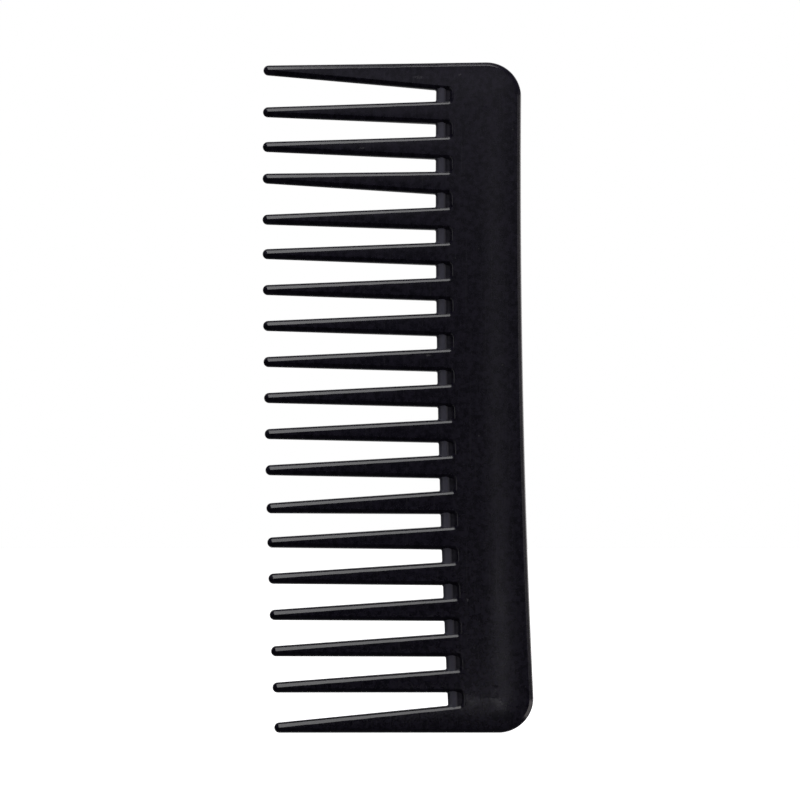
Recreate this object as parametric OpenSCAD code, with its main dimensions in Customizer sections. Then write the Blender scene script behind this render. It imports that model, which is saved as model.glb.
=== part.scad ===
// Wide tooth comb of moulded plastic, standing on one end.
// The comb's length runs up Z, its teeth point towards -X, its back edge faces +X,
// and its two broad faces look along -Y and +Y. The middle plane of the comb is Y = 0.
// The comb is one moulding: its spine, its teeth and the webs between their roots
// meet face to face and make up one rigid body.

/* [Comb] */
// Overall length, from end edge to end edge
comb_length = 160; // [150:1:170]
// Number of teeth, with the two wide end teeth
tooth_count = 19; // [15:2:23]
// Radius of the gentle bow of the whole comb, measured at the roots of the gaps
bow_radius = 2650; // [2000:50:4000]
// Lean of the comb's middle when it stands on its lower end edge, in degrees
stand_lean = 1.06; // [0.8:0.02:1.3]
// Slope of the upper end edge, which rises towards the back edge, in degrees
end_slope = 0.8; // [0:0.1:1.2]

/* [Spine] */
// Depth of the spine, from the roots of the gaps to the back edge
spine_depth = 20.4; // [17:0.1:24]
// Thickness of the spine's flat middle
spine_t = 4; // [3.4:0.1:5]
// Thickness at the inner side of the border's bevel
rim_t = 3.1; // [2.7:0.1:3.3]
// Thickness of the outer edge, round the back and both ends
edge_t = 1.4; // [1.2:0.1:2.2]
// Radius of the two outer corners, and width of the pillowed border
corner_r = 8.3; // [6:0.1:9]

/* [Teeth] */
// Length of a tooth, from the root of the gap to the tip
tooth_length = 41.4; // [36:0.1:46]
// Width of each end tooth at its root
end_tooth_w = 6.6; // [5.5:0.1:7.5]
// Extra width at the root of the upper end tooth
end_extra = 0.4; // [0:0.1:0.6]
// Width across a tip, which is round
tip_w = 2.45; // [2.2:0.05:2.7]
// Thickness at a tip
tip_t = 2.3; // [2.1:0.1:2.6]
// Width and depth of the bevel along the edges of the teeth
bevel = 0.9; // [0.6:0.05:1]
// Upward set of every tip, away from square to the bow
tip_set = 0.25; // [-0.5:0.05:0.5]

/* [Webs] */
// Width of the pocket between two teeth, at its inner end
pocket_w = 2.7; // [2.4:0.1:3.2]
// Depth of a web, from the root of the gap to the pocket's inner end
web_depth = 3.5; // [2.5:0.1:4]
// Thickness of a web at its crest
web_t = 2.1; // [1.9:0.1:2.2]
// Thickness of a web in the groove beside the spine
groove_t = 1.7; // [1.4:0.1:1.8]

/* [Hidden] */
// A few teeth stand slightly off the even row: [tooth number, set of its tip]
BENT_TEETH = [[2, -0.35], [3, -0.1], [4, 0.9], [5, -0.35], [13, -0.45]];
// Insets from the outline at which the height of the pillowed border is worked out
BORDER_STEPS = [0, bevel, 1.6, 2.8, 4.2, 5.8, corner_r - 0.2];
PLASTIC = [0.085, 0.085, 0.1];
CORNER_POINTS = 10;
BACK_POINTS = 18;
TIP_POINTS = 12;
NOSE_POINTS = 12;

mid_tooth = (tooth_count + 1) / 2;
pitch = (comb_length - 2 * end_tooth_w - pocket_w) / (tooth_count - 2);
pitch_angle = pitch / bow_radius * 180 / PI;
wall_r = bow_radius - web_depth;
back_r = bow_radius - spine_depth;
tip_rad = tip_w / 2;
root_half = (pitch - pocket_w) / 2;
root_half_angle = root_half / wall_r * 180 / PI;

// Centre of the bow. Its X puts the middle of the comb's width on X = 0.
bow_z = comb_length / 2 + bow_radius * sin(stand_lean);
corner_reach = sqrt(pow(back_r + corner_r, 2) - pow(bow_z - corner_r, 2));
bow_x = (bow_radius + tooth_length + corner_reach - corner_r) / 2;

// Points are [x, z] pairs in the comb's plane.
function arc_x(r, z) = bow_x - sqrt(r * r - pow(z - bow_z, 2));
function polar(r, a) = [bow_x - r * cos(a), bow_z + r * sin(a)];

low_corner = [arc_x(back_r + corner_r, corner_r), corner_r];
high_corner = [arc_x(back_r + corner_r, comb_length - corner_r), comb_length - corner_r];

// Height of the upper end edge's line at x, moved inwards by d
function top_z(x, d) =
    high_corner[1] + (corner_r - d) / cos(end_slope) + (x - high_corner[0]) * tan(end_slope);
// Point at radius r on the upper end edge's line, moved inwards by d
function top_point(r, d) =
    let (z = top_z(arc_x(r, comb_length), d)) [arc_x(r, z), z];

// Half thickness of the spine at distance d inside its outline
function half_t(d) =
    d < bevel ? (edge_t + (rim_t - edge_t) * d / bevel) / 2
    : d < corner_r - 0.2
    ? (spine_t - (spine_t - rim_t) * pow(1 - (d - bevel) / (corner_r - 0.2 - bevel), 2)) / 2
    : spine_t / 2;

// Angle of a tooth's middle on the bow, numbered from the top
function tooth_angle(i) = (mid_tooth - i) * pitch_angle - stand_lean;
// Number with two digits
function two_digits(i) = str(i < 10 ? "0" : "", i);
function tooth_name(i) = str("tooth_", two_digits(i));
function web_name(i) = str("web_", two_digits(i));

// Root corners of a tooth, on the pocket's wall
function upper_root(i) =
    i == 1 ? top_point(wall_r, 0) : polar(wall_r, tooth_angle(i) + root_half_angle);
function lower_root(i) =
    i == 1 ? polar(wall_r, tooth_angle(i) - root_half_angle) - [0, end_extra]
    : i == tooth_count ? [arc_x(wall_r, 0), 0]
    : polar(wall_r, tooth_angle(i) - root_half_angle);

// Set of a tooth's tip along the bow
function bend(i) = tip_set + sum([for (b = BENT_TEETH) if (b[0] == i) b[1]]);
function sum(list, n = 0) = n < len(list) ? list[n] + sum(list, n + 1) : 0;
// Centre of a tooth's round tip: the end teeth's tips touch the end edges' lines
function tip_centre(i) =
    let (r = bow_radius + tooth_length - tip_rad)
    i == 1 ? top_point(r, tip_rad)
    : i == tooth_count ? [arc_x(r, tip_rad), tip_rad]
    : polar(r, tooth_angle(i)) + bend(i) * [sin(tooth_angle(i)), cos(tooth_angle(i))];

// Direction across a tooth at its tip, upwards; on an end tooth it is square to the end edge
function across(i) =
    let (v = tip_centre(i) - (lower_root(i) + upper_root(i)) / 2, u = v / norm(v))
    i == 1 ? [-sin(end_slope), cos(end_slope)]
    : i == tooth_count ? [0, 1]
    : [u[1], -u[0]];
// End of the straight upper (side 1) or lower (side -1) flank, where the round tip begins
function flank_end(i, side) = tip_centre(i) + side * tip_rad * across(i);
// Point at radius r from the bow's centre on the line from p to q
function on_flank(p, q, r) =
    let (rp = norm(p - [bow_x, bow_z]), rq = norm(q - [bow_x, bow_z]))
    p + (q - p) * (r - rp) / (rq - rp);

// Spine outline, moved inwards by d, from the lower end of the pocket walls
// round the back to their upper end
function spine_loop(d) =
    let (r = corner_r - d,
         low_a = atan2(bow_z - low_corner[1], bow_x - low_corner[0]),
         high_a = atan2(bow_z - high_corner[1], bow_x - high_corner[0]),
         low_z = low_corner[1] + r * sin(low_a),
         high_z = high_corner[1] + r * sin(high_a))
    concat(
        [[arc_x(wall_r, d), d]],
        [for (n = [0:CORNER_POINTS])
            let (a = -90 + (low_a + 90) * n / CORNER_POINTS)
            low_corner + r * [cos(a), sin(a)]],
        [for (n = [1:BACK_POINTS - 1])
            let (z = low_z + (high_z - low_z) * n / BACK_POINTS)
            [arc_x(back_r + d, z), z]],
        [for (n = [0:CORNER_POINTS])
            let (a = high_a + (90 + end_slope - high_a) * n / CORNER_POINTS)
            high_corner + r * [cos(a), sin(a)]],
        [top_point(wall_r, d)]
    );

// Heights of the root corners on the pocket walls, from the bottom up
wall_heights = [for (i = [tooth_count:-1:1]) each [
    if (i < tooth_count) lower_root(i)[1],
    if (i > 1) upper_root(i)[1]]];
spine_inner_steps = [for (z = wall_heights)
    if (z > corner_r && z < top_point(wall_r, corner_r)[1]) [arc_x(wall_r, z), z]];

function on_face(points, y) = [for (p = points) [p[0], y, p[1]]];

module spine() {
    steps = len(BORDER_STEPS);
    loops = [for (d = BORDER_STEPS) spine_loop(d)];
    ring = len(loops[0]);
    inner = len(spine_inner_steps);
    face = steps * ring + inner;
    // Front face: the loops from the outline inwards, then the points along the walls
    front = concat(
        [for (s = [0:steps - 1]) each on_face(loops[s], -half_t(BORDER_STEPS[s]))],
        on_face(spine_inner_steps, -spine_t / 2));
    back = [for (p = front) [p[0], -p[1], p[2]]];
    // Numbers of the points along the walls, from the lower end edge to the upper one
    wall = concat(
        [for (s = [0:steps - 1]) s * ring],
        [for (n = [0:inner - 1]) steps * ring + n],
        [for (s = [steps - 1:-1:0]) s * ring + ring - 1]);
    middle = concat(
        [for (n = [inner - 1:-1:0]) steps * ring + n],
        [for (n = [0:ring - 1]) (steps - 1) * ring + n]);
    border = [for (s = [0:steps - 2]) for (n = [0:ring - 2])
        [s * ring + n, s * ring + n + 1, (s + 1) * ring + n + 1, (s + 1) * ring + n]];
    front_faces = concat(border, fan(middle, floor(inner / 2)));
    edge = [for (n = [0:ring - 2]) [n, n + face, n + 1 + face, n + 1]];
    inner_wall = [for (n = [0:len(wall) - 2])
        [wall[n], wall[n + 1], wall[n + 1] + face, wall[n] + face]];
    color(PLASTIC)
        polyhedron(
            points = concat(front, back),
            faces = concat(
                [for (f = front_faces) for (t = halves(f)) reversed(t)],
                [for (f = front_faces) for (t = halves(f)) [for (v = t) v + face]],
                [for (f = edge) for (t = halves(f)) reversed(t)],
                [for (f = inner_wall) for (t = halves(f)) reversed(t)]));
}

// Triangles that cover a polygon whose whole outline is in sight from its point number start
function fan(f, start) =
    let (n = len(f))
    [for (k = [1:n - 2]) [f[start], f[(start + k) % n], f[(start + k + 1) % n]]];
function halves(f) = len(f) == 3 ? [f] : [[f[0], f[1], f[2]], [f[0], f[2], f[3]]];
function reversed(f) = [for (k = [len(f) - 1:-1:0]) f[k]];

// Front half of a tooth's section at its root, as [distance from the lower corner, height]
function root_section(i, w) =
    let (inner = spine_t / 2 - bevel,
         rim = [for (d = BORDER_STEPS) if (d < w - bevel - 0.3) [d, half_t(d)]])
    i == tooth_count
    ? concat(rim, [[w - bevel, half_t(w - bevel)], [w, inner]])
    : i == 1
    ? concat([[0, inner], [bevel, half_t(w - bevel)]],
             [for (k = [len(rim) - 1:-1:0]) [w - rim[k][0], rim[k][1]]])
    : [[0, inner], [bevel, spine_t / 2], [w - bevel, spine_t / 2], [w, inner]];

// Front half of the section where the round tip begins: each root point runs straight to its own
function tip_section(half) =
    let (n = len(half), v0 = half[1][0], v1 = half[n - 2][0], face = tip_rad - bevel)
    [for (k = [0:n - 1])
        k == 0 ? [-tip_rad, tip_t / 2 - bevel]
        : k == n - 1 ? [tip_rad, tip_t / 2 - bevel]
        : [face * (2 * (half[k][0] - v0) / (v1 - v0) - 1), tip_t / 2]];

// Points of the half circle round the tip, at radius r and height y
function tip_arc(i, r, y) =
    let (c = tip_centre(i), up = across(i), out = [-up[1], up[0]])
    [for (n = [1:TIP_POINTS - 1])
        let (t = 180 * n / TIP_POINTS, p = c + r * (sin(t) * out - cos(t) * up))
        [p[0], y, p[1]]];

module tooth(i) {
    low = lower_root(i);
    v = upper_root(i) - low;
    half = root_section(i, norm(v));
    tip_half = tip_section(half);
    n = len(half);
    last = TIP_POINTS - 1;
    // Front points: root section, section at the tip, then the tip's outer and inner half circles
    front = concat(
        [for (s = half) let (p = low + s[0] * v / norm(v)) [p[0], -s[1], p[1]]],
        [for (s = tip_half) let (p = tip_centre(i) + s[0] * across(i)) [p[0], -s[1], p[1]]],
        tip_arc(i, tip_rad, bevel - tip_t / 2),
        tip_arc(i, tip_rad - bevel, -tip_t / 2));
    back = [for (p = front) [p[0], -p[1], p[2]]];
    count = len(front);
    outer = concat([n], [for (k = [0:last - 1]) 2 * n + k], [2 * n - 1]);
    inner = concat([n + 1], [for (k = [0:last - 1]) 2 * n + last + k], [2 * n - 2]);
    rails = [for (k = [0:n - 2]) [k, n + k, n + k + 1, k + 1]];
    rounding = [for (k = [0:last]) [outer[k], outer[k + 1], inner[k + 1], inner[k]]];
    cap = concat(inner, [for (k = [2 * n - 3:-1:n + 2]) k]);
    front_faces = concat(
        [for (f = concat(rails, rounding)) each halves(f)],
        fan(cap, floor(len(inner) / 2)));
    rim = concat([0], outer, [n - 1]);
    edge = [for (k = [0:len(rim) - 2]) each halves(
        [rim[k + 1], rim[k], rim[k] + count, rim[k + 1] + count])];
    root = [for (k = [0:n - 2]) each halves([k, k + 1, k + 1 + count, k + count])];
    color(PLASTIC)
        polyhedron(
            points = concat(front, back),
            faces = concat(
                front_faces,
                [for (f = front_faces) [for (k = reversed(f)) k + count]],
                edge,
                root));
}

// Half of a web's section: a groove beside the spine, a low crest and a round nose
function web_half_section() =
    let (crest = web_depth * 0.5)
    concat(
        [[0, groove_t / 2]],
        [for (n = [0:NOSE_POINTS])
            let (a = 120 * (1 - n / NOSE_POINTS))
            [crest + (web_depth - crest) * cos(a), web_t / 2 * sin(a)]]);

module web(i) {
    // The web fills the pocket between tooth i and the tooth below it
    up = lower_root(i);
    up_end = flank_end(i, -1);
    down = upper_root(i + 1);
    down_end = flank_end(i + 1, 1);
    past_nose = bow_radius + 1;
    half = web_half_section();
    outline = concat(half, [for (k = [len(half) - 2:-1:0]) [half[k][0], -half[k][1]]]);
    tilt = (tooth_angle(i) + tooth_angle(i + 1)) / 2;
    foot = (up + down) / 2;
    color(PLASTIC)
        intersection() {
            rotate([90, 0, 0])
                linear_extrude(spine_t, center = true)
                polygon([up, on_flank(up, up_end, past_nose),
                         on_flank(down, down_end, past_nose), down]);
            translate([foot[0], 0, foot[1]])
                rotate([0, tilt, 0])
                mirror([1, 0, 0])
                linear_extrude(2 * pocket_w, center = true)
                polygon(outline);
        }
}

spine();
for (i = [1:tooth_count]) {
    tooth(i);
}
for (i = [1:tooth_count - 1]) {
    web(i);
}
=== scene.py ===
import math
import random

import bmesh
import bpy
import numpy as np
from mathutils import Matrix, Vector
from mathutils.geometry import delaunay_2d_cdt

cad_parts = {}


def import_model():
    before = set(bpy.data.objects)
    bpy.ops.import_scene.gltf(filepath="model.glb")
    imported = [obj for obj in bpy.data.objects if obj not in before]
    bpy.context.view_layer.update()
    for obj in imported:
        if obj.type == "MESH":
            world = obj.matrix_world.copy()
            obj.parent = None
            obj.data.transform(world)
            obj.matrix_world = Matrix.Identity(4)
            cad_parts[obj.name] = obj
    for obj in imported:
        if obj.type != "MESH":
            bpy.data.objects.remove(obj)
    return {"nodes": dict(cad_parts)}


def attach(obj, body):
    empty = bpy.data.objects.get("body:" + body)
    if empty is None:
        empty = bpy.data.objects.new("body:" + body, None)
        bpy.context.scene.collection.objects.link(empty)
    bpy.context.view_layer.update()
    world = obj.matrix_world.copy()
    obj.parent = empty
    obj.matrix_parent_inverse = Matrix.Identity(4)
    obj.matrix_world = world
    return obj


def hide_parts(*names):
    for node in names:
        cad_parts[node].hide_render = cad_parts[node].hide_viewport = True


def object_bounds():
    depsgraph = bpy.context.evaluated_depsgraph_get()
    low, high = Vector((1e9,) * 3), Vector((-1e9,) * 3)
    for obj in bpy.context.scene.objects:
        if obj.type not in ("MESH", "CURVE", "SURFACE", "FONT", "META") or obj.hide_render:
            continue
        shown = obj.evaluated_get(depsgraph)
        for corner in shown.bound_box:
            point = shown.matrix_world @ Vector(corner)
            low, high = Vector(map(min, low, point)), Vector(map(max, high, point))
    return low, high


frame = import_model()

cad_low, cad_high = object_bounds()
MM = 0.001

# ---------------------------------------------------------------------------------------
# Layout of the comb, in millimetres and in the comb's plane: x across it, z along it.
# These are the driving dimensions of the CAD part, so every piece lies where its node does.
# ---------------------------------------------------------------------------------------
LENGTH = (cad_high.z - cad_low.z) / MM
TEETH = sum(name.startswith("tooth_") for name in frame["nodes"])
BOW_RADIUS = 2650.0
LEAN = math.radians(1.06)
END_SLOPE = math.radians(0.8)
SPINE_DEPTH = 20.4
SPINE_T = 4.0
CORNER_R = 8.3
TOOTH_LENGTH = 41.4
END_TOOTH_W = 6.6
END_EXTRA = 0.4
TIP_W = 2.45
TIP_T = 2.4
TIP_SET = 0.25
BENT_TEETH = {2: -0.35, 3: -0.1, 4: 0.9, 5: -0.35, 13: -0.45}
POCKET_W = 2.7
WEB_DEPTH = 3.3

MID_TOOTH = (TEETH + 1) / 2
PITCH = (LENGTH - 2 * END_TOOTH_W - POCKET_W) / (TEETH - 2)
WALL_R = BOW_RADIUS - WEB_DEPTH
BACK_R = BOW_RADIUS - SPINE_DEPTH
TIP_RAD = TIP_W / 2
ROOT_HALF_ANGLE = (PITCH - POCKET_W) / 2 / WALL_R
BOW_Z = LENGTH / 2 + BOW_RADIUS * math.sin(LEAN)
CORNER_REACH = math.sqrt((BACK_R + CORNER_R) ** 2 - (BOW_Z - CORNER_R) ** 2)
BOW_X = (BOW_RADIUS + TOOTH_LENGTH + CORNER_REACH - CORNER_R) / 2


def arc_x(r, z):
    return BOW_X - math.sqrt(r * r - (z - BOW_Z) ** 2)


def polar(r, angle):
    return np.array([BOW_X - r * math.cos(angle), BOW_Z + r * math.sin(angle)])


LOW_CORNER = np.array([arc_x(BACK_R + CORNER_R, CORNER_R), CORNER_R])
HIGH_CORNER = np.array([arc_x(BACK_R + CORNER_R, LENGTH - CORNER_R), LENGTH - CORNER_R])


def top_z(x, d):
    """Height of the upper end edge at x, moved inwards by d."""
    above = (CORNER_R - d) / math.cos(END_SLOPE)
    return HIGH_CORNER[1] + above + (x - HIGH_CORNER[0]) * math.tan(END_SLOPE)


def top_point(r, d):
    z = top_z(arc_x(r, LENGTH), d)
    return np.array([arc_x(r, z), z])


def tooth_angle(i):
    return (MID_TOOTH - i) * PITCH / BOW_RADIUS - LEAN


def root_corner(i, side):
    """Root corner of tooth i on the pockets' wall: side 1 is the upper one, -1 the lower."""
    if i == 1 and side == 1:
        return top_point(WALL_R, 0)
    if i == TEETH and side == -1:
        return np.array([arc_x(WALL_R, 0), 0.0])
    corner = polar(WALL_R, tooth_angle(i) + side * ROOT_HALF_ANGLE)
    return corner - (np.array([0, END_EXTRA]) if i == 1 else 0)


def tip_centre(i):
    r = BOW_RADIUS + TOOTH_LENGTH - TIP_RAD
    if i == 1:
        return top_point(r, TIP_RAD)
    if i == TEETH:
        return np.array([arc_x(r, TIP_RAD), TIP_RAD])
    bend = TIP_SET + BENT_TEETH.get(i, 0)
    angle = tooth_angle(i)
    return polar(r, angle) + bend * np.array([math.sin(angle), math.cos(angle)])


def across(i):
    """Unit vector across tooth i at its tip, upwards."""
    if i == 1:
        return np.array([-math.sin(END_SLOPE), math.cos(END_SLOPE)])
    if i == TEETH:
        return np.array([0.0, 1.0])
    v = tip_centre(i) - (root_corner(i, 1) + root_corner(i, -1)) / 2
    return np.array([v[1], -v[0]]) / np.linalg.norm(v)


# ---------------------------------------------------------------------------------------
# Moulded edge profiles: (distance inside the outline, drop below the face)
# ---------------------------------------------------------------------------------------
BEVEL_ANGLE = math.radians(35)
FLANK_ANGLE = math.radians(75)
# Edge profiles: lean of the flank inwards from the parting line, width inside the flank,
# radius between bevel and flank, radius between bevel and face
ROOT_EDGE = (0.08, 1.0, 1.4, 0.25)
TIP_EDGE = (0.08, 1.2, 1.1, 0.25)
BORDER_EDGE = (0.04, 1.05, 0.95, 0.3)
END_BEVEL = 0.95        # width of the soft shoulder at a pocket's inner end
END_DROP = 0.62
END_STEEP = math.radians(48)
POCKET_ROUND = 0.5      # radius of a pocket's inner corners
GAP_ROUND = 0.3         # radius of the corners at the root of a gap
PILLOW = 0.62           # drop of the spine's faces towards the border
PILLOW_REACH = 11.0     # width of the pillowed border
CROWN = 0.06            # drop of a tooth's faces towards its edges
WAVER = 0.015           # most that one wave changes a bevel's width by
TIP_HALF = TIP_T / 2
FACE = SPINE_T / 2
OUTER_ROWS = 8          # rows of the profile round its outer radius
INNER_ROWS = 6          # and round its inner radius
FLANK_COUNT = 4         # rows of a flank below its profile


def bevel_rows(profile):
    """An edge profile, from the flank's upper edge inwards, as (distance inside the outline, drop)."""
    draft, width, outer_round, inner_round = profile
    a = BEVEL_ANGLE
    f = FLANK_ANGLE
    curved = outer_round * (math.sin(f) - math.sin(a)) + inner_round * math.sin(a)
    straight = (width - curved) / math.cos(a)
    drop = outer_round * (math.cos(a) - math.cos(f)) + straight * math.sin(a)
    drop += inner_round * (1 - math.cos(a))
    rows = []
    for step in range(OUTER_ROWS):
        t = f + (a - f) * step / (OUTER_ROWS - 1)
        rows.append((draft + outer_round * (math.sin(f) - math.sin(t)),
                     drop - outer_round * (math.cos(t) - math.cos(f))))
    for step in range(INNER_ROWS):
        t = a * (1 - step / (INNER_ROWS - 1))
        rows.append((draft + width - inner_round * math.sin(t), inner_round * (1 - math.cos(t))))
    return rows


def shoulder_rows():
    """The soft shoulder at a pocket's inner end, with as many rows as a bevel."""
    count = len(bevel_rows(ROOT_EDGE))
    radius = (END_BEVEL - END_DROP / math.tan(END_STEEP)) / (
        math.sin(END_STEEP) - (1 - math.cos(END_STEEP)) / math.tan(END_STEEP))
    arc_start = END_BEVEL - radius * math.sin(END_STEEP)
    draft = ROOT_EDGE[0]
    rows = []
    for k in range(3):
        run = arc_start * k / 3
        rows.append((draft + run, END_DROP - run * math.tan(END_STEEP)))
    for step in range(count - 3):
        t = END_STEEP * (1 - step / (count - 4))
        rows.append((draft + END_BEVEL - radius * math.sin(t), radius * (1 - math.cos(t))))
    return rows


SHOULDER = shoulder_rows()
ROWS = len(SHOULDER)


def flank_rows(draft, edge):
    """Rows from the parting line towards the flank's upper edge, which has that height above it,
    as (distance inside the outline, height)."""
    return [(0.0, 0.0), (0.005, 0.12 * edge), (0.3 * draft, 0.2 * edge), (0.6 * draft, 0.6 * edge)]


def pillow(d):
    """Half thickness of the spine's face at distance d inside its outline."""
    return FACE - PILLOW * np.maximum(1 - np.asarray(d, float) / PILLOW_REACH, 0) ** 2


def outline_distance(p):
    """Distance of a point of the spine inside its outer outline."""
    x, z = p
    low_a = math.atan2(BOW_Z - LOW_CORNER[1], BOW_X - LOW_CORNER[0])
    high_a = math.atan2(BOW_Z - HIGH_CORNER[1], BOW_X - HIGH_CORNER[0])
    for corner, first, last in ((LOW_CORNER, -math.pi / 2, low_a),
                                (HIGH_CORNER, high_a, math.pi / 2 + END_SLOPE)):
        a = math.atan2(z - corner[1], x - corner[0])
        if first <= a <= last:
            return CORNER_R - math.hypot(x - corner[0], z - corner[1])
    top = (top_z(x, 0) - z) * math.cos(END_SLOPE)
    back = math.hypot(x - BOW_X, z - BOW_Z) - BACK_R
    return min(z, top, back)


class Flank:
    """One side of a tooth: where it starts on the pockets' wall, and how its bevel runs to the tip."""

    def __init__(self, i, side):
        self.i, self.side = i, side
        self.outer = (i == 1 and side == 1) or (i == TEETH and side == -1)
        self.root = root_corner(i, side)
        end = tip_centre(i) + side * TIP_RAD * across(i)
        self.along = (end - self.root) / np.linalg.norm(end - self.root)
        out = np.array([self.along[1], -self.along[0]])
        self.out = out if out[1] * side > 0 else -out
        rng = random.Random(100 * i + side)
        self.waves = []
        for _ in range(3):
            height = rng.uniform(0.5, 1.0) * WAVER
            self.waves.append((height, rng.uniform(5, 11), rng.uniform(0, 6.3)))
        root_line = root_corner(i, -side) - self.root
        self.root_line = root_line / np.linalg.norm(root_line)

    def profile(self, t):
        """The edge profile at share t of the way to the tip, with a slight waver of its width."""
        base = BORDER_EDGE if self.outer else ROOT_EDGE
        s = t * TOOTH_LENGTH
        waver = sum(a * math.sin(s * 2 * math.pi / length + phase) for a, length, phase in self.waves)
        sizes = [b + (tip - b) * t for b, tip in zip(base, TIP_EDGE)]
        sizes[1] += waver * min(1, t * 6) * min(1, (1 - t) * 6)
        return sizes

    def corner_row(self, row, psi):
        """(distance inside the outline, drop) of a row round a pocket's inner corner."""
        share = math.cos(psi) ** 2
        flank, end = bevel_rows(ROOT_EDGE)[row], SHOULDER[row]
        return flank[0] + (end[0] - flank[0]) * share, flank[1] + (end[1] - flank[1]) * share

    def corner_point(self, d, psi):
        centre = self.root + POCKET_ROUND * (self.along + self.out)
        return centre - (POCKET_ROUND + d) * (self.along * math.cos(psi) + self.out * math.sin(psi))

    def cut_psi(self, distance):
        """The angle at which a row crosses the pockets' wall; distance gives the row's d at an angle."""
        low, high = 0.0, math.pi / 2
        for _ in range(40):
            psi = (low + high) / 2
            if (POCKET_ROUND + distance(psi)) * math.cos(psi) > POCKET_ROUND:
                low = psi
            else:
                high = psi
        return (low + high) / 2


FLANKS = {(i, side): Flank(i, side) for i in range(1, TEETH + 1) for side in (-1, 1)}


# ---------------------------------------------------------------------------------------
# Shells: closed meshes whose two faces mirror each other in the comb's middle plane
# ---------------------------------------------------------------------------------------
# Finish of the surface at a point: (how far its edge is rubbed, how polished, how matt and how much
# painted light lightens it)
FACE_FINISH = (0.0, 0.0, 0.0)
FLANK_FINISH = (0.3, 1.0, 0.0)


class Shell:
    """Collects faces by the places of their corners, given as (x, z, half thickness, finish)."""

    def __init__(self):
        self.index, self.points, self.finish, self.faces = {}, [], [], []

    def vertex(self, x, y, z, finish):
        key = (round(x, 4), round(y, 4), round(z, 4))
        if key not in self.index:
            self.index[key] = len(self.points)
            self.points.append((x * MM, y * MM, z * MM))
            self.finish.extend(finish)
        return self.index[key]

    def add(self, ids):
        ids = [v for k, v in enumerate(ids) if v != ids[k - 1]]
        if len(set(ids)) == len(ids) >= 3:
            self.faces.append(ids)

    def front(self, p):
        return self.vertex(p[0], -p[2], p[1], p[3])

    def back(self, p):
        return self.vertex(p[0], p[2], p[1], p[3])

    def both(self, corners):
        self.add([self.front(p) for p in corners])
        self.add([self.back(p) for p in reversed(corners)])

    def grid(self, lines):
        """Quads between neighbouring lines of points, on the front and on the back."""
        for a, b in zip(lines, lines[1:]):
            for k in range(len(a) - 1):
                self.both([a[k], a[k + 1], b[k + 1], b[k]])

    def cap(self, line):
        """A flat end across the piece, under one line of points."""
        self.add([self.front(p) for p in line] + [self.back(p) for p in reversed(line)])

    def wall(self, line):
        """Quads straight through the piece between the front and the back of a line of points."""
        for p, q in zip(line, line[1:]):
            self.add([self.front(p), self.front(q), self.back(q), self.back(p)])

    def build(self, name, *nodes):
        mesh = bpy.data.meshes.new(name)
        mesh.from_pydata(self.points, [], self.faces)
        bm = bmesh.new()
        bm.from_mesh(mesh)
        bmesh.ops.recalc_face_normals(bm, faces=bm.faces)
        for face in bm.faces:
            face.smooth = True
        for edge in bm.edges:
            edge.smooth = edge.is_manifold and edge.calc_face_angle(0) < math.radians(50)
        bm.to_mesh(mesh)
        bm.free()
        attribute = mesh.attributes.new("finish", "FLOAT_VECTOR", "POINT")
        attribute.data.foreach_set("vector", self.finish)
        piece = bpy.data.objects.new(name, mesh)
        bpy.context.scene.collection.objects.link(piece)
        weighted = piece.modifiers.new("weighted_normals", "WEIGHTED_NORMAL")
        weighted.keep_sharp = True
        weighted.weight = 80
        mesh.materials.append(PLASTIC)
        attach(piece, "root")
        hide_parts(*nodes)
        return piece


# ---------------------------------------------------------------------------------------
# Teeth
# ---------------------------------------------------------------------------------------
CORNER_STATIONS = 6
FLANK_STATIONS = 26
TIP_STATIONS = 12
FACE_COLUMNS = 7


def smooth_step(t):
    t = min(max(t, 0), 1)
    return t * t * (3 - 2 * t)


def tooth_height(i, t, v):
    """Half thickness of tooth i's face at share t of its length and share v of its width."""
    low, high = FLANKS[i, -1].root, FLANKS[i, 1].root
    root = float(pillow(outline_distance(low + (high - low) * v)))
    crown = CROWN * (2 * v - 1) ** 2 * smooth_step(t * 8)
    return root + (TIP_HALF - root) * t - crown


def edge_finish(row):
    """Finish of a row of the edge profile: rubbed at its crisp inner edge, polished all over."""
    rubbed = max(0.0, 1 - abs(row - (ROWS - 4)) / 3, 0.6 * (1 - abs(row - 4) / 4))
    return rubbed, min(1.0, (ROWS - 1 - row) / 3), 0.0


def side_line(i, t, place, v_of, rows):
    """Points from the parting line over the flank and the edge profile to the face, for one station.
    place(row, d) gives the plan position at distance d inside; rows are (d, drop) pairs."""
    edge = tooth_height(i, t, v_of(place(0, rows[0][0]))) - rows[0][1]
    line = []
    for inside, height in flank_rows(rows[0][0], edge):
        p = place(None, inside)
        line.append((p[0], p[1], height, FLANK_FINISH))
    for row, (d, drop) in enumerate(rows):
        p = place(row, d)
        line.append((p[0], p[1], tooth_height(i, t, v_of(p)) - drop, edge_finish(row)))
    return line


def share_across(low, high):
    """A function that gives how far across a tooth a plan position lies, from 0 to 1."""
    span = high - low
    return lambda p: float(np.clip(np.dot(np.asarray(p) - low, span) / np.dot(span, span), 0, 1))


def root_side(i, side, psi_share, v_of):
    """A line round a pocket's inner corner; psi_share runs from the wall (0) to the straight flank (1)."""
    flank = FLANKS[i, side]

    def psi_at(row, d):
        inset = (lambda psi: max(d, 0)) if row is None else (lambda psi: flank.corner_row(row, psi)[0])
        start = flank.cut_psi(inset)
        return start + (math.pi / 2 - start) * psi_share

    rows = [flank.corner_row(row, psi_at(row, 0)) for row in range(ROWS)]
    return side_line(i, 0.0, lambda row, d: flank.corner_point(d, psi_at(row, d)), v_of, rows)


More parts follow.
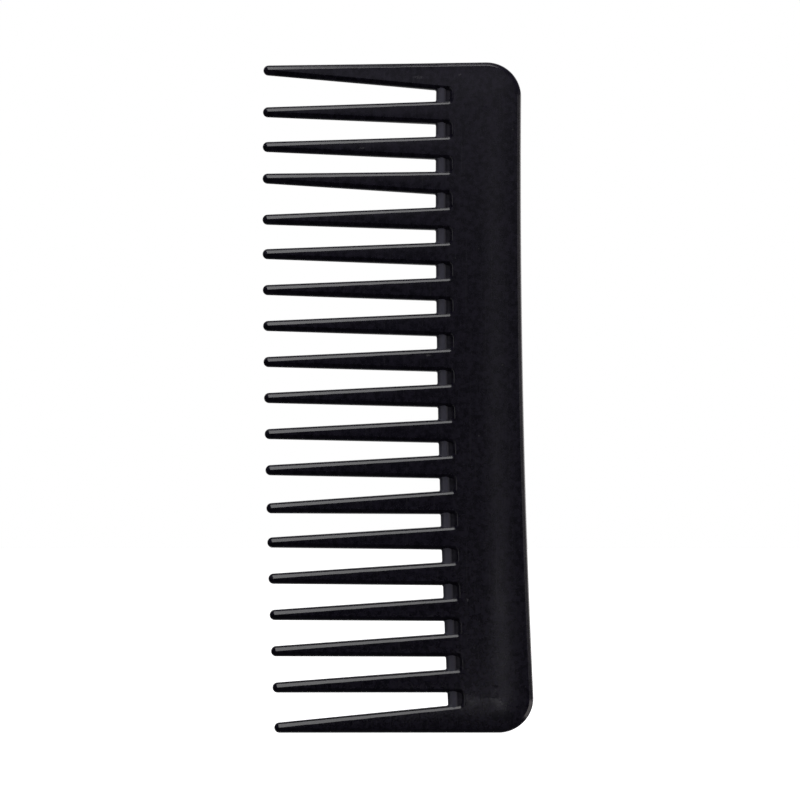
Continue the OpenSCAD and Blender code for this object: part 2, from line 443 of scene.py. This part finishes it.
def outer_root_side(i, side, v_of):
    flank = FLANKS[i, side]
    slant = abs(float(np.dot(flank.root_line, flank.out)))
    rows = bevel_rows(BORDER_EDGE)
    return side_line(i, 0.0, lambda row, d: flank.root + flank.root_line * d / slant, v_of, rows)


def straight_side(i, side, t, v_of):
    flank = FLANKS[i, side]
    slant = abs(float(np.dot(flank.root_line, flank.out)))

    def place(row, d):
        if flank.outer:
            start = flank.root + flank.root_line * d / slant
        else:
            start = flank.root + POCKET_ROUND * flank.along - d * flank.out
        end = tip_centre(i) + side * (TIP_RAD - d) * across(i)
        return start + (end - start) * t

    return side_line(i, t, place, v_of, bevel_rows(flank.profile(t)))


def tip_side(i, side, angle, v_of):
    """A line over the round tip, at that angle from the across direction towards the tip's end."""
    flank = FLANKS[i, side]
    up = across(i) * side
    ahead = np.array([-abs(up[1]), up[0] * (1 if up[1] > 0 else -1)])

    def place(row, d):
        return tip_centre(i) + (TIP_RAD - d) * (math.cos(angle) * up + math.sin(angle) * ahead)

    return side_line(i, 1.0, place, v_of, bevel_rows(flank.profile(1)))


def across_line(i, t, low_side, high_side, v_of):
    """A whole line across the front: lower side, face, upper side."""
    low, high = low_side[-1], high_side[-1]
    face = []
    for k in range(1, FACE_COLUMNS + 1):
        share = k / (FACE_COLUMNS + 1)
        p = (low[0] + (high[0] - low[0]) * share, low[1] + (high[1] - low[1]) * share)
        face.append((p[0], p[1], tooth_height(i, t, v_of(p)), FACE_FINISH))
    return low_side + face + high_side[::-1]


def tooth_lines(i):
    """Every line across tooth i, from its root to its tip."""
    lines = []
    low_root, high_root = root_corner(i, -1), root_corner(i, 1)
    v_of = share_across(low_root, high_root)
    for k in range(CORNER_STATIONS):
        sides = []
        for side in (-1, 1):
            flank = FLANKS[i, side]
            if not flank.outer:
                sides.append(root_side(i, side, k / CORNER_STATIONS, v_of))
            elif k == 0:
                sides.append(outer_root_side(i, side, v_of))
            else:
                reach = POCKET_ROUND / TOOTH_LENGTH * k / CORNER_STATIONS
                sides.append(straight_side(i, side, reach, v_of))
        lines.append(across_line(i, 0.0, *sides, v_of))
    for k in range(FLANK_STATIONS + 1):
        t = k / FLANK_STATIONS
        ends = [FLANKS[i, side].root * (1 - t) + (tip_centre(i) + side * TIP_RAD * across(i)) * t
                for side in (-1, 1)]
        v_of = share_across(*ends)
        sides = []
        for side in (-1, 1):
            first = POCKET_ROUND / TOOTH_LENGTH if FLANKS[i, side].outer else 0
            sides.append(straight_side(i, side, first + (1 - first) * t, v_of))
        lines.append(across_line(i, t, *sides, v_of))
    tip_low = tip_centre(i) - TIP_RAD * across(i)
    v_of = share_across(tip_low, tip_low + TIP_W * across(i))
    for k in range(1, TIP_STATIONS + 1):
        angle = math.pi / 2 * k / TIP_STATIONS
        sides = [tip_side(i, side, angle, v_of) for side in (-1, 1)]
        lines.append(across_line(i, 1.0, *sides, v_of))
    return lines


def make_tooth(i):
    shell = Shell()
    lines = tooth_lines(i)
    shell.grid(lines)
    shell.cap(lines[0])
    return shell.build(f"moulded_tooth_{i:02d}", f"tooth_{i:02d}")


# ---------------------------------------------------------------------------------------
# Spine
# ---------------------------------------------------------------------------------------
CORNER_STEPS = 24
BACK_STEPS = 90
PILLOW_RINGS = [1.6, 2.3, 3.1, 4.0, 4.9, 5.8, 6.7, 7.6, 8.5, 9.4, 10.3, 11.1]
RING_GAP = 2.0          # how far those rings end from the pockets' wall
FLAT_STEP = 2.2         # spacing of points on the flat middle, along the comb
FLAT_COLUMN_STEP = 1.9  # and across it
FLAT_COLUMNS = 7
FLAT_START = 1.8        # distance of the first column from the pockets' wall
FLAT_MARGIN = 0.8       # and of the last one from the innermost ring


def outer_ring(d, ends):
    """The spine's outer outline moved inwards by d, from the lower end tooth to the upper one."""
    low_a = math.atan2(BOW_Z - LOW_CORNER[1], BOW_X - LOW_CORNER[0])
    high_a = math.atan2(BOW_Z - HIGH_CORNER[1], BOW_X - HIGH_CORNER[0])
    r = CORNER_R - d
    points = [np.asarray(ends[0])]
    for k in range(CORNER_STEPS + 1):
        a = -math.pi / 2 + (low_a + math.pi / 2) * k / CORNER_STEPS
        points.append(LOW_CORNER + r * np.array([math.cos(a), math.sin(a)]))
    low_z, high_z = points[-1][1], HIGH_CORNER[1] + r * math.sin(high_a)
    for k in range(1, BACK_STEPS):
        z = low_z + (high_z - low_z) * k / BACK_STEPS
        points.append(np.array([arc_x(BACK_R + d, z), z]))
    for k in range(CORNER_STEPS + 1):
        a = high_a + (math.pi / 2 + END_SLOPE - high_a) * k / CORNER_STEPS
        points.append(HIGH_CORNER + r * np.array([math.cos(a), math.sin(a)]))
    points.append(np.asarray(ends[1]))
    return points


def pocket_ring(i, row):
    """A row of the shoulder round the inner end of the pocket under tooth i, from top to bottom."""
    upper, lower = FLANKS[i, -1], FLANKS[i + 1, 1]
    line = []
    for flank, order in ((upper, 1), (lower, -1)):
        start = flank.cut_psi(lambda psi: flank.corner_row(row, psi)[0])
        part = []
        for k in range(CORNER_STATIONS + 1):
            psi = start * (1 - k / CORNER_STATIONS)
            d, drop = flank.corner_row(row, psi)
            p = flank.corner_point(d, psi)
            part.append((p[0], p[1], float(pillow(outline_distance(p))) - drop, edge_finish(row)))
        line += part[::order]
    return line


def holds(outline, p):
    """Whether a closed outline, given as an array of points, has a plan position inside it."""
    a, b = outline, np.roll(outline, -1, axis=0)
    crosses = (a[:, 1] > p[1]) != (b[:, 1] > p[1])
    a, b = a[crosses], b[crosses]
    x = a[:, 0] + (p[1] - a[:, 1]) / (b[:, 1] - a[:, 1]) * (b[:, 0] - a[:, 0])
    return int(np.sum(x > p[0])) % 2 == 1


def spine_rings(roots):
    """The rows of the border's profile, which end at the rows of the end teeth's outer sides."""
    low_rows = roots[TEETH][FLANK_COUNT:FLANK_COUNT + ROWS]
    high_rows = roots[1][::-1][FLANK_COUNT:FLANK_COUNT + ROWS]
    rings = []
    for row, (d, drop) in enumerate(bevel_rows(BORDER_EDGE)):
        plan = outer_ring(d, (low_rows[row][:2], high_rows[row][:2]))
        height = float(pillow(d)) - drop
        ring = [(p[0], p[1], height, edge_finish(row)) for p in plan]
        rings.append([low_rows[row]] + ring[1:-1] + [high_rows[row]])
    return rings


def inner_line(roots):
    """The line along which the spine's face ends at the teeth and the pockets, downwards."""
    line = []
    for i in range(1, TEETH + 1):
        line += roots[i][FLANK_COUNT:-FLANK_COUNT][::-1]
        if i < TEETH:
            line += pocket_ring(i, 0)[1:-1]
    return line


def face_points():
    """Points on the spine's face: along the pillowed border, and spread over its flat middle."""
    points = []
    for d in PILLOW_RINGS:
        ends = []
        for x, z in ((arc_x(WALL_R, d), d), top_point(WALL_R, d)):
            ends.append((x + RING_GAP, z))
        points += [(p[0], p[1], float(pillow(d)), FACE_FINISH) for p in outer_ring(d, ends)]
    for row in range(1, int(LENGTH / FLAT_STEP)):
        z = row * FLAT_STEP
        for k in range(FLAT_COLUMNS):
            x = arc_x(WALL_R - FLAT_START - k * FLAT_COLUMN_STEP, z)
            if outline_distance((x, z)) > PILLOW_RINGS[-1] + FLAT_MARGIN:
                points.append((x, z, FACE, FACE_FINISH))
    return points


class Plan:
    """Points and edges to triangulate, with every place numbered once."""

    def __init__(self):
        self.points, self.edges, self.index = [], [], {}

    def number(self, p):
        key = (round(p[0], 4), round(p[1], 4))
        if key not in self.index:
            self.index[key] = len(self.points)
            self.points.append(p)
        return self.index[key]

    def join(self, line):
        ids = [self.number(p) for p in line]
        self.edges.extend((a, b) for a, b in zip(ids, ids[1:]) if a != b)

    def triangles(self, outline):
        """Triangles that fill the outline, each as three points with heights."""
        border = [self.number(p) for p in outline]
        for p in face_points():
            self.number(p)
        flat = [Vector((p[0], p[1])) for p in self.points]
        cut = delaunay_2d_cdt(flat, self.edges, [border], 1, 1e-5, True)
        solid = []
        for v, source in zip(cut[0], cut[3]):
            if source:
                solid.append(self.points[source[0]])
            else:
                solid.append((v.x, v.y, float(pillow(outline_distance(v))), FACE_FINISH))
        rim = np.array([p[:2] for p in outline])
        for face in cut[2]:
            corners = [solid[k] for k in face]
            if holds(rim, np.mean([p[:2] for p in corners], axis=0)):
                yield corners


def add_faces(shell, triangles, border):
    """The spine's two faces, and the inner wall under each of their open edges that isn't on the
    outer border."""
    edges = {}
    for corners in triangles:
        ids = [shell.front(p) for p in corners]
        if len(set(ids)) < 3:
            continue
        shell.both(corners)
        for k in range(3):
            edge = frozenset((ids[k - 1], ids[k]))
            edges.setdefault(edge, []).append((corners[k - 1], corners[k]))
    outer = {frozenset((shell.front(p), shell.front(q))) for p, q in zip(border, border[1:])}
    for edge, sides in edges.items():
        if len(sides) == 1 and edge not in outer:
            shell.wall(sides[0])


def add_outer_wall(shell, roots, border):
    """The outer wall, with its draft, from the front border to the back one."""
    edge_height = border[len(border) // 2][2]
    lines = []
    for row, (d, height) in enumerate(flank_rows(BORDER_EDGE[0], edge_height)):
        ends = (roots[TEETH][row], roots[1][::-1][row])
        plan = outer_ring(d, (ends[0][:2], ends[1][:2]))
        middle = [(p[0], p[1], height, FLANK_FINISH) for p in plan[1:-1]]
        lines.append([ends[0]] + middle + [ends[1]])
    lines.append(border)
    shell.grid(lines)
    shell.cap([line[0] for line in lines])
    shell.cap([line[-1] for line in lines])


def make_spine():
    shell = Shell()
    roots = {i: tooth_lines(i)[0] for i in range(1, TEETH + 1)}
    rings = spine_rings(roots)
    plan = Plan()
    for ring in rings[1:]:
        plan.join(ring)
    for i in range(1, TEETH):
        for row in range(1, ROWS):
            plan.join(pocket_ring(i, row))
    outline = rings[0] + inner_line(roots)[1:-1]
    add_faces(shell, plan.triangles(outline), rings[0])
    add_outer_wall(shell, roots, rings[0])
    return shell.build("moulded_spine", "spine")


# ---------------------------------------------------------------------------------------
# Webs
# ---------------------------------------------------------------------------------------
WEB_CREST = 1.55        # half thickness at the crest
WEB_FOOT = 1.12         # and in the groove beside the spine's shoulder
CREST_AT = 1.5          # distance of the crest from the nose
WEB_STATIONS = 16
WALL_OVERLAP = 0.04     # a web starts this far behind the full draft of the spine's wall
SIDE_OVERLAP = 0.02     # added to the inset of a web's sides, so that they end inside the teeth


def web_profile():
    """(distance out from the spine's wall, half thickness, finish), from the groove beside the wall, over
    the crest, to the nose. The finish's third value is how matt the web is, and it also paints light and
    shade into its colour: painted shade in the groove beside the wall, painted light on the crest, and a
    little painted shade towards the nose."""
    rows = []
    foot_run = WEB_DEPTH - CREST_AT
    for k in range(10):
        u = k / 10
        height = WEB_FOOT + (WEB_CREST - WEB_FOOT) * smooth_step((u - 0.3) / 0.7)
        # Painted shade: the third value is low in the groove beside the wall, so the web stays dark there,
        # and it rises towards the crest, where it paints the web lighter.
        rows.append((foot_run * u, height, (0.0, 0.0, 0.1 + 0.9 * smooth_step((u - 0.42) / 0.5))))
    for k in range(13):
        t = math.pi / 2 * k / 12
        # Painted light: lightest at the crest, with a little painted shade towards the nose.
        matt_and_painted_light = 1.0 - 0.3 * math.sin(t) ** 2
        rows.append((foot_run + CREST_AT * math.sin(t), WEB_CREST * math.cos(t) ** 0.9, (0.0, 0.0, matt_and_painted_light)))
    rows[-1] = (WEB_DEPTH, 0.0, rows[-1][2])
    rows[0] = (-ROOT_EDGE[0] - WALL_OVERLAP, WEB_FOOT, rows[0][2])
    return rows


def land_inset(flank, s, height):
    """How far inside the flank's line its edge profile has that height, at distance s from the wall."""
    face = tooth_height(flank.i, s / TOOTH_LENGTH, 0.0 if flank.side < 0 else 1.0)
    rows = [(d, face - drop) for d, drop in bevel_rows(ROOT_EDGE)]
    inset = float(np.interp(height, [h for _, h in rows], [d for d, _ in rows]))
    if s < POCKET_ROUND:
        inset -= POCKET_ROUND - math.sqrt(POCKET_ROUND ** 2 - (POCKET_ROUND - s) ** 2)
    return inset


def web_point(upper, lower, share, row):
    """A point of a web, at that share of the way from the lower tooth to the upper one."""
    s, height, finish = row
    ends = []
    for flank in (lower, upper):
        inset = land_inset(flank, max(s, 0), height) + SIDE_OVERLAP
        ends.append(flank.root + flank.along * s - flank.out * inset)
    p = ends[0] + (ends[1] - ends[0]) * share
    near = min(np.dot(p - (f.root + f.along * s), f.out) for f in (lower, upper))
    near = min(max(near, 0), GAP_ROUND)
    flare = GAP_ROUND - math.sqrt(GAP_ROUND ** 2 - (GAP_ROUND - near) ** 2)
    reach = smooth_step((s - (WEB_DEPTH - CREST_AT)) / CREST_AT)
    p = p + lower.along * flare * reach
    return p[0], p[1], height, finish


def make_web(i):
    """The web between tooth i and the tooth below it."""
    shell = Shell()
    upper, lower = FLANKS[i, -1], FLANKS[i + 1, 1]
    lines = []
    for k in range(WEB_STATIONS + 1):
        share = (1 - math.cos(math.pi * k / WEB_STATIONS)) / 2
        lines.append([web_point(upper, lower, share, row) for row in web_profile()])
    shell.grid(lines)
    shell.wall([line[0] for line in lines])
    shell.cap(lines[0])
    shell.cap(lines[-1])
    return shell.build(f"moulded_web_{i:02d}", f"web_{i:02d}")


# ---------------------------------------------------------------------------------------
# Material: satin black plastic
# ---------------------------------------------------------------------------------------
class Nodes:
    """Short calls to lay out a material's nodes."""

    def __init__(self, name):
        self.material = bpy.data.materials.new(name)
        self.material.use_nodes = True
        self.tree = self.material.node_tree
        self.tree.nodes.clear()

    def add(self, kind, settings=None, **inputs):
        n = self.tree.nodes.new(kind)
        for key, value in (settings or {}).items():
            setattr(n, key, value)
        for key, value in inputs.items():
            self.put(n.inputs[key.replace("_", " ")], value)
        return n

    def put(self, socket, value):
        if isinstance(value, bpy.types.NodeSocket):
            self.tree.links.new(value, socket)
        else:
            socket.default_value = value

    def maths(self, operation, a, b=0.0, clamp=False):
        n = self.tree.nodes.new("ShaderNodeMath")
        n.operation, n.use_clamp = operation, clamp
        self.put(n.inputs[0], a)
        self.put(n.inputs[1], b)
        return n.outputs[0]

    def ramp(self, value, low, high, to_low=0.0, to_high=1.0):
        n = self.tree.nodes.new("ShaderNodeMapRange")
        n.interpolation_type = "SMOOTHSTEP"
        self.put(n.inputs["Value"], value)
        n.inputs["From Min"].default_value = low
        n.inputs["From Max"].default_value = high
        n.inputs["To Min"].default_value = to_low
        n.inputs["To Max"].default_value = to_high
        return n.outputs["Result"]

    def noise(self, vector, scale, detail=4.0, rough=0.55):
        n = self.add("ShaderNodeTexNoise", Scale=scale, Detail=detail, Roughness=rough, Vector=vector)
        return n.outputs["Fac"]

    def scaled(self, vector, scale):
        n = self.tree.nodes.new("ShaderNodeVectorMath")
        n.operation = "MULTIPLY"
        self.put(n.inputs[0], vector)
        n.inputs[1].default_value = scale
        return n.outputs[0]

    def mix(self, share, a, b):
        n = self.tree.nodes.new("ShaderNodeMix")
        n.data_type = "RGBA"
        self.put(n.inputs[0], share)
        self.put(n.inputs[6], a)
        self.put(n.inputs[7], b)
        return n.outputs[2]


# Small scuffs on the front face: (x, z) of the middle and half sizes along x and z, in millimetres
SCUFFS = [((14.9, 156.8), (0.5, 0.45)), ((5.0, 156.2), (1.7, 0.5)), ((7.4, 89.6), (1.2, 0.35)),
          ((16.6, 31.5), (0.4, 0.6)), ((-8.5, 139.2), (1.3, 0.3))]


def scuff_distance(m, place, centre, size):
    """Distance from a scuff's middle, as a share of its size; over 1 on the back face."""
    shift = m.tree.nodes.new("ShaderNodeVectorMath")
    shift.operation = "SUBTRACT"
    m.put(shift.inputs[0], place)
    shift.inputs[1].default_value = (centre[0], -SPINE_T / 2, centre[1])
    length = m.tree.nodes.new("ShaderNodeVectorMath")
    length.operation = "LENGTH"
    m.put(length.inputs[0], m.scaled(shift.outputs[0], (1 / size[0], 1.0, 1 / size[1])))
    return length.outputs["Value"]


def plastic():
    """Black plastic with a mottled grain, light specks, faint streaks and rubbed edges, and with painted
    light and shade on the webs.
    """
    m = Nodes("satin_black_plastic")
    place = m.add("ShaderNodeTexCoord").outputs["Object"]
    mm = m.scaled(place, (1 / MM,) * 3)
    finish = m.add("ShaderNodeAttribute", {"attribute_name": "finish"}).outputs["Vector"]
    finish = m.add("ShaderNodeSeparateXYZ", Vector=finish).outputs
    # The finish's third value is how matt the surface is, and also how strongly painted light lightens it.
    wear, polish, matt_and_painted_light = finish[0], finish[1], finish[2]
    mottle = m.noise(mm, 0.85, 2.0, 0.55)
    cloud = m.noise(mm, 0.16, 3.0, 0.5)
    grain = m.noise(mm, 3.4, 2.0, 0.6)
    streak = m.noise(m.scaled(mm, (1.6, 1.6, 0.05)), 1.0, 3.0, 0.6)
    rub_noise = m.noise(m.scaled(mm, (0.7, 1.0, 1.6)), 1.6, 4.0, 0.65)
    rubbed = m.maths("MULTIPLY", m.ramp(rub_noise, 0.55, 0.75), wear)
    cells = m.add("ShaderNodeTexVoronoi", {"feature": "F1"}, Scale=0.36, Randomness=1.0, Vector=mm)
    pick = m.add("ShaderNodeSeparateColor", Color=cells.outputs["Color"]).outputs[0]
    lone = m.maths("GREATER_THAN", pick, 0.9)
    dot = m.ramp(cells.outputs["Distance"], 0.04, 0.11, 1.0, 0.0)
    speck = m.maths("MULTIPLY", dot, lone)
    dark, light = (0.0052, 0.0040, 0.0108, 1), (0.0212, 0.0180, 0.0330, 1)
    colour = m.mix(m.ramp(mottle, 0.28, 0.72), dark, light)
    colour = m.mix(m.maths("MULTIPLY", m.ramp(streak, 0.56, 0.72), 0.3), colour, (0.042, 0.040, 0.050, 1))
    # Painted light and shade: the webs turn a lighter grey by the third value, lightest on their crests,
    # and stay dark in the grooves beside the wall and a little darker at the nose. This is painted light,
    # not the plastic's own colour.
    colour = m.mix(m.maths("MULTIPLY", matt_and_painted_light, 0.8), colour, (0.128, 0.125, 0.168, 1))
    colour = m.mix(m.maths("MULTIPLY", rubbed, 0.4), colour, (0.050, 0.048, 0.054, 1))
    colour = m.mix(m.maths("MULTIPLY", speck, 0.6), colour, (0.085, 0.082, 0.09, 1))
    for centre, size in SCUFFS:
        away = scuff_distance(m, mm, centre, size)
        broken = m.maths("MULTIPLY", m.ramp(away, 0.2, 1.0, 1.0, 0.0), m.ramp(grain, 0.35, 0.6))
        colour = m.mix(broken, colour, (0.12, 0.115, 0.13, 1))
    rough = m.ramp(mottle, 0.2, 0.8, 0.17, 0.19)
    rough = m.maths("ADD", rough, m.ramp(cloud, 0.35, 0.65, -0.015, 0.02))
    # The same value also makes the webs rougher, a real matt surface.
    rough = m.maths("ADD", rough, m.maths("MULTIPLY", matt_and_painted_light, 0.25))
    rough = m.maths("ADD", rough, m.maths("MULTIPLY", rubbed, 0.1), clamp=True)
    height = m.maths("ADD", m.maths("MULTIPLY", grain, 0.3), m.maths("MULTIPLY", speck, 0.1))
    strength = m.maths("SUBTRACT", 0.05, m.maths("MULTIPLY", polish, 0.045))
    bump = m.add("ShaderNodeBump", Strength=strength, Distance=0.00006, Height=height)
    shader = m.add("ShaderNodeBsdfPrincipled", Base_Color=colour, Roughness=rough, IOR=1.5,
                   Normal=bump.outputs["Normal"])
    out = m.add("ShaderNodeOutputMaterial")
    m.tree.links.new(shader.outputs[0], out.inputs["Surface"])
    return m.material


PLASTIC = plastic()
make_spine()
for tooth in range(1, TEETH + 1):
    make_tooth(tooth)
for web in range(1, TEETH):
    make_web(web)


# ---------------------------------------------------------------------------------------
# Stage, light and camera
# ---------------------------------------------------------------------------------------
# Radiance around the object against the direction's part along Y, from the front (-1) to the back (1)
WORLD_RINGS = [(-1.0, 0.085), (-0.9, 0.08), (-0.4, 0.04), (0.2, 0.05), (0.5, 0.4),
               (0.82, 0.95), (0.95, 1.0), (0.985, 0.3), (1.0, 0.2)]
# and the share of it that is left from the teeth's side (-1) to the back edge's side (1)
WORLD_SIDES = [(-1.0, 0.25), (-0.25, 0.3), (-0.06, 0.4), (0.05, 1.0), (1.0, 1.0)]
# and the share that is left from straight below (-1) to straight above (1)
WORLD_HEIGHTS = [(-1.0, 1.0), (-0.3, 0.6), (-0.08, 0.15), (0.05, 0.9), (0.2, 1.0), (1.0, 1.0)]


LIT = Vector((0, 0, 0.08))      # where the lights face
COOL = (1.0, 0.98, 1.06)        # tint of the lights in front of the comb


def floor():
    mesh = bpy.data.meshes.new("floor")
    half = 6.0
    corners = [(-half, -half, 0), (half, -half, 0), (half, half, 0), (-half, half, 0)]
    mesh.from_pydata(corners, [], [(0, 1, 2, 3)])
    plane = bpy.data.objects.new("floor", mesh)
    bpy.context.scene.collection.objects.link(plane)
    m = Nodes("pale_floor")
    shader = m.add("ShaderNodeBsdfPrincipled", Base_Color=(0.9, 0.9, 0.9, 1), Roughness=0.8)
    shader.inputs["Emission Color"].default_value = (1, 1, 1, 1)
    shader.inputs["Emission Strength"].default_value = 1.0
    out = m.add("ShaderNodeOutputMaterial")
    m.tree.links.new(shader.outputs[0], out.inputs["Surface"])
    mesh.materials.append(m.material)
    plane.visible_glossy = False
    plane.visible_diffuse = False
    plane.visible_shadow = False


def softbox(name, place, size, radiance, tint=(1, 1, 1)):
    """A rectangular soft light, sized in metres, that faces the comb's middle and whose surface
    has that radiance."""
    data = bpy.data.lights.new(name, "AREA")
    data.shape, data.size, data.size_y = "RECTANGLE", size[0], size[1]
    data.energy = radiance * math.pi * size[0] * size[1]
    data.color = tint
    lamp = bpy.data.objects.new(name, data)
    lamp.location = place
    facing = (LIT - Vector(place)).to_track_quat("-Z", "Y").to_matrix()
    lamp.rotation_euler = facing.to_euler()
    lamp.visible_camera = False
    bpy.context.scene.collection.objects.link(lamp)


def band(tree, value, points):
    """A radiance that changes smoothly along a value from -1 to 1, given as (value, radiance) points."""
    fit = tree.nodes.new("ShaderNodeMapRange")
    fit.inputs["From Min"].default_value = -1.0
    tree.links.new(value, fit.inputs["Value"])
    ramp = tree.nodes.new("ShaderNodeValToRGB")
    ramp.color_ramp.interpolation = "EASE"
    stops = ramp.color_ramp.elements
    for stop, (_, level) in zip((stops[0], stops[1]), (points[0], points[-1])):
        stop.color = (level, level, level, 1)
    for where, level in points[1:-1]:
        stops.new((where + 1) / 2).color = (level, level, level, 1)
    tree.links.new(fit.outputs["Result"], ramp.inputs["Fac"])
    return ramp.outputs["Color"]


def world():
    """White where the camera looks past the object. The light that falls on the object is bright
    from behind it, and dim from in front, where its broad faces look."""
    w = bpy.data.worlds.new("studio")
    bpy.context.scene.world = w
    w.use_nodes = True
    tree = w.node_tree
    tree.nodes.clear()
    path = tree.nodes.new("ShaderNodeLightPath")
    place = tree.nodes.new("ShaderNodeTexCoord")
    axes = tree.nodes.new("ShaderNodeSeparateXYZ")
    tree.links.new(place.outputs["Generated"], axes.inputs[0])
    level = band(tree, axes.outputs["Y"], WORLD_RINGS)
    for axis, points in (("X", WORLD_SIDES), ("Z", WORLD_HEIGHTS)):
        product = tree.nodes.new("ShaderNodeMix")
        product.data_type, product.blend_type = "RGBA", "MULTIPLY"
        product.inputs[0].default_value = 1.0
        tree.links.new(level, product.inputs[6])
        tree.links.new(band(tree, axes.outputs[axis], points), product.inputs[7])
        level = product.outputs[2]
    around = tree.nodes.new("ShaderNodeBackground")
    tree.links.new(level, around.inputs["Color"])
    white = tree.nodes.new("ShaderNodeBackground")
    white.inputs["Color"].default_value = (1, 1, 1, 1)
    mix = tree.nodes.new("ShaderNodeMixShader")
    out = tree.nodes.new("ShaderNodeOutputWorld")
    tree.links.new(path.outputs["Is Camera Ray"], mix.inputs[0])
    tree.links.new(around.outputs[0], mix.inputs[1])
    tree.links.new(white.outputs[0], mix.inputs[2])
    tree.links.new(mix.outputs[0], out.inputs["Surface"])


def camera():
    """Straight on to the front face, a little below its middle and tipped up to it."""
    distance, tilt = 0.7, math.radians(2.5)
    target = Vector((0.00059, 0.0, 0.07903))
    data = bpy.data.cameras.new("camera")
    data.sensor_width = 36.0
    data.lens = 132.1
    data.clip_start, data.clip_end = 0.01, 30.0
    cam = bpy.data.objects.new("camera", data)
    cam.location = target + Vector((0, -math.cos(tilt), -math.sin(tilt))) * distance
    cam.rotation_euler = (math.pi / 2 + tilt, 0, 0)
    bpy.context.scene.collection.objects.link(cam)
    bpy.context.scene.camera = cam


floor()
world()
softbox("top", (-0.03, -0.19, 0.60), (0.42, 0.32), 3.15)
softbox("right", (0.9, 0.12, 0.16), (0.5, 0.3), 1.1, (1.0, 0.95, 0.93))
softbox("right_low", (0.8, -0.1, -0.3), (0.5, 0.45), 1.5, (1.0, 0.93, 0.92))
softbox("right_back", (0.75, 0.55, 0.08), (0.6, 0.5), 2.3, (1.0, 0.96, 0.96))
softbox("right_front", (0.85, -0.4, 0.08), (0.4, 0.5), 0.6, (1.0, 0.96, 0.98))
softbox("left_front", (-0.7, -0.7, 0.08), (0.45, 0.5), 0.6)
softbox("left_low", (-0.6, -0.65, -0.38), (0.5, 0.5), 0.3)
softbox("front_high", (0.0, -1.0, 0.42), (0.5, 0.3), 0.22, (1.0, 0.97, 1.1))
softbox("front_side", (0.15, -1.0, 0.10), (0.04, 0.32), 0.45, COOL)
softbox("front_low", (0.07, -1.0, -0.125), (0.10, 0.03), 3.0, COOL)
softbox("front_corner", (0.135, -1.0, -0.04), (0.035, 0.11), 0.95, COOL)
camera()

scene = bpy.context.scene
scene.view_settings.view_transform = "Standard"
scene.view_settings.look = "None"
